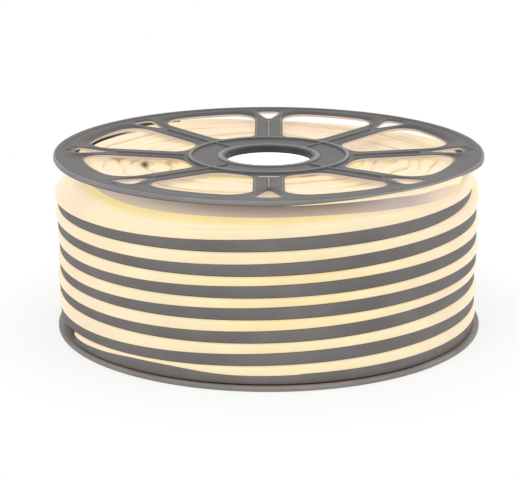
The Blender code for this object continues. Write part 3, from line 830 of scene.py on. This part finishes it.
# One turn climbs to the next layer at each crossing, and the ridges swing with it.
climb = 0.5 * ease((grid_degrees - 150) / 40) + 0.5 * ease((grid_degrees - 330) / 30)
wander = 0.17 * np.sin(3 * grid_angle + 0.7) + 0.12 * np.sin(7 * grid_angle + grid_radius / LAYER_STEP * 1.3)
puff = hump(grid_degrees, 195, 26) + 0.8 * hump(grid_degrees, 345, 26)
wander = wander + 0.24 * puff * np.sin(11 * grid_angle + grid_radius / LAYER_STEP * 2.1)
layer_place = (grid_radius - ROLL_INNER) / LAYER_STEP - climb + wander
layer = np.floor(layer_place)
across = 2 * (layer_place - layer) - 1
ridge = np.sqrt(np.clip(1 - (0.97 * across) ** 2, 0.0, 1.0))
strip_length = layer + grid_angle / (2 * math.pi)
lift = 0.55 * np.sin(strip_length * 9.1) + 0.45 * np.sin(strip_length * 23.7 + 1.0)
back = REEL_HEIGHT - flange_face(grid_radius) - PLATE
heights = back - along(grid_degrees, HEADROOM) * MM - CREASE * (1 - ridge) * (0.6 + 0.5 * puff) + lift * MM
near_hub = 1 - ease((grid_radius - 68 * MM) / (16 * MM))
HUB_LIFT = 1.6 * MM
heights = np.minimum(heights + HUB_LIFT * near_hub, back - LEAST_HEADROOM)

# Where the light has further to go the ridges turn yellow; the creases between them are painted brown as
# shade.
x_mm = grid_radius * np.cos(grid_angle) / MM
y_mm = grid_radius * np.sin(grid_angle) / MM
ridge_colours = np.tile(PEACH * 0.5 + CREAM * 0.5, (ROLL_STEPS * ROLL_ROWS, 1))
tint = 0.5 + 0.5 * np.sin(strip_length * 5.3 + 2.0 * np.sin(3 * grid_angle))
yellowed = 0.45 * tint * ease((abs(across) - 0.35) / 0.5) + 0.55 * near_hub
ridge_colours = blend(ridge_colours, YELLOW, yellowed.ravel())
ridge_colours = blend(ridge_colours, PEACH, (0.5 * (1 - tint) * (1 - near_hub)).ravel())
ridge_colours = blend(ridge_colours, PEACH, (0.75 * hump(grid_degrees, 90, 42)).ravel())
crease_shade = ease((abs(across) - 0.86) / 0.12)
ridge_colours = blend(ridge_colours, SHADE_BROWN, (0.42 * crease_shade).ravel())
# A few soft spots, placed after the photograph: middle and reach in mm, colour and strength.
# The yellow spots are the strip's light; the brown and black ones are painted shade and shadow.
for x, y, reach_x, reach_y, colour, strength in (
        (-87, -16, 9, 8, YELLOW, 0.55), (-108, -24, 7, 6, YELLOW, 0.7), (-112, -4, 5.5, 8, SHADE_BROWN, 0.9),
        (-92, -14, 3.0, 8, SHADOW_BLACK, 0.95), (-74, -12, 5, 7, SHADE_BROWN, 0.7), (90, -8, 6, 6, YELLOW, 0.6),
        (118, -12, 8, 7, YELLOW, 0.5), (101, 20, 10, 8, YELLOW, 0.55), (-96, 44, 16, 5, YELLOW, 0.4)):
    spot = np.exp(-((x_mm - x) / reach_x) ** 2 - ((y_mm - y) / reach_y) ** 2)
    ridge_colours = blend(ridge_colours, colour, (strength * spot).ravel())
# The outermost ridges are painted black as shade under the rim at the left, and at the right.
in_shadow = ease((grid_radius - np.where(y_mm < 30, 140.6, 137.5) * MM) / (1.5 * MM))
in_shadow = in_shadow * np.maximum(ease((grid_degrees - 138) / 8) * ease((182 - grid_degrees) / 6),
                                   ease((14 - grid_degrees) / 5) * 0.9)
ridge_colours = blend(ridge_colours, SHADOW_BLACK, in_shadow.ravel())
ridge_colours = ridge_colours.reshape(ROLL_STEPS, ROLL_ROWS, 3)
# The roll's outer side below the ridges is painted a dark brown as shade.
shaded_foot_colours = np.tile(BAND_DEEP * 0.5, (ROLL_STEPS, 1, 1))
ridge_colours = np.concatenate([ridge_colours[:, :1], ridge_colours, shaded_foot_colours], axis=1)

roll_radius = np.hstack([grid_radius[:, :1], grid_radius, grid_radius[:, -1:]])
roll_height = np.hstack([np.full((ROLL_STEPS, 1), ROLL_LOW), heights, np.full((ROLL_STEPS, 1), FLOOR_FACE)])
roll_points = np.stack([roll_radius * np.cos(angles)[:, None], roll_radius * np.sin(angles)[:, None],
                        roll_height], axis=2).reshape(-1, 3)
roll = mesh_piece("buried_turns", roll_points, spun_faces(ROLL_STEPS, roll_radius.shape[1]), 60)
paint(roll, ridge_colours.reshape(-1, 3))
roll.data.materials.append(milky("lit_edges", 0.70, 0.34))
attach(roll, "root")


# The reel stands on a plain pale paper floor. It keeps the reel's shadow close by, and fades to white
# further out.
FLOOR_HALF = 4.0
floor_mesh = bpy.data.meshes.new("floor")
floor_mesh.from_pydata([(-FLOOR_HALF, -FLOOR_HALF, 0), (FLOOR_HALF, -FLOOR_HALF, 0),
                        (FLOOR_HALF, FLOOR_HALF, 0), (-FLOOR_HALF, FLOOR_HALF, 0)], [], [(0, 1, 2, 3)])
floor = bpy.data.objects.new("floor", floor_mesh)
bpy.context.scene.collection.objects.link(floor)
paper = bpy.data.materials.new("paper")
paper.use_nodes = True
nodes, links = paper.node_tree.nodes, paper.node_tree.links
nodes.clear()
paper_out = nodes.new("ShaderNodeOutputMaterial")
matt = nodes.new("ShaderNodeBsdfDiffuse")
matt.inputs["Color"].default_value = (0.93, 0.93, 0.93, 1.0)
white = nodes.new("ShaderNodeEmission")
white.inputs["Strength"].default_value = 1.0
place = nodes.new("ShaderNodeTexCoord")
distance = nodes.new("ShaderNodeVectorMath")
distance.operation = 'LENGTH'
links.new(place.outputs["Object"], distance.inputs[0])
fade = nodes.new("ShaderNodeMapRange")
fade.inputs["From Min"].default_value = 0.162
fade.inputs["From Max"].default_value = 0.235
fade.inputs["To Min"].default_value = 0.78
links.new(distance.outputs["Value"], fade.inputs["Value"])
rays = nodes.new("ShaderNodeLightPath")
seen = nodes.new("ShaderNodeMath")
seen.operation = 'MULTIPLY'
links.new(fade.outputs["Result"], seen.inputs[0])
links.new(rays.outputs["Is Camera Ray"], seen.inputs[1])
faded = nodes.new("ShaderNodeMixShader")
links.new(seen.outputs["Value"], faded.inputs["Fac"])
links.new(matt.outputs["BSDF"], faded.inputs[1])
links.new(white.outputs["Emission"], faded.inputs[2])
links.new(faded.outputs["Shader"], paper_out.inputs["Surface"])
floor_mesh.materials.append(paper)


# Soft studio light: a white room, plus one large lamp from the front left and one from the right.
# Metal and glass would show the plain white backdrop too.
world = bpy.data.worlds.new("studio")
bpy.context.scene.world = world
world.use_nodes = True
nodes, links = world.node_tree.nodes, world.node_tree.links
nodes.clear()
world_out = nodes.new("ShaderNodeOutputWorld")
room = nodes.new("ShaderNodeBackground")
room.inputs["Color"].default_value = (1.0, 1.0, 1.0, 1.0)
room.inputs["Strength"].default_value = 0.55
backdrop = nodes.new("ShaderNodeBackground")
backdrop.inputs["Color"].default_value = (1.0, 1.0, 1.0, 1.0)
backdrop.inputs["Strength"].default_value = 1.0
rays = nodes.new("ShaderNodeLightPath")
direct = nodes.new("ShaderNodeMath")
direct.operation = 'MAXIMUM'
links.new(rays.outputs["Is Camera Ray"], direct.inputs[0])
links.new(rays.outputs["Is Glossy Ray"], direct.inputs[1])
clear = nodes.new("ShaderNodeMath")
clear.operation = 'MAXIMUM'
links.new(direct.outputs["Value"], clear.inputs[0])
links.new(rays.outputs["Is Transmission Ray"], clear.inputs[1])
choose = nodes.new("ShaderNodeMixShader")
links.new(clear.outputs["Value"], choose.inputs["Fac"])
links.new(room.outputs["Background"], choose.inputs[1])
links.new(backdrop.outputs["Background"], choose.inputs[2])
links.new(choose.outputs["Shader"], world_out.inputs["Surface"])

LIT_POINT = Vector((0, 0, 0.07))
for name, spot, power, size in (("front_softbox", (-0.9, -1.3, 1.5), 14.0, 1.2),
                                ("side_softbox", (1.4, -0.5, 1.1), 7.0, 1.2)):
    lamp = bpy.data.lights.new(name, 'AREA')
    lamp.energy = power
    lamp.size = size
    softbox = bpy.data.objects.new(name, lamp)
    bpy.context.scene.collection.objects.link(softbox)
    softbox.location = spot
    softbox.rotation_euler = (LIT_POINT - Vector(spot)).to_track_quat('-Z', 'Y').to_euler()


# The camera looks down on the reel from the front, a little above it, as in the photograph.
TILT = 0.268
camera_data = bpy.data.cameras.new("camera")
camera_data.sensor_width = 36.0
camera_data.lens = 118.55
camera_data.shift_x = -0.01788
camera_data.shift_y = -0.0190
camera = bpy.data.objects.new("camera", camera_data)
bpy.context.scene.collection.objects.link(camera)
camera.location = (0.0, -1.2478, 0.4127)
camera.rotation_euler = (math.pi / 2 - TILT, 0.0, 0.0)
bpy.context.scene.camera = camera
bpy.context.scene.view_settings.view_transform = 'Standard'
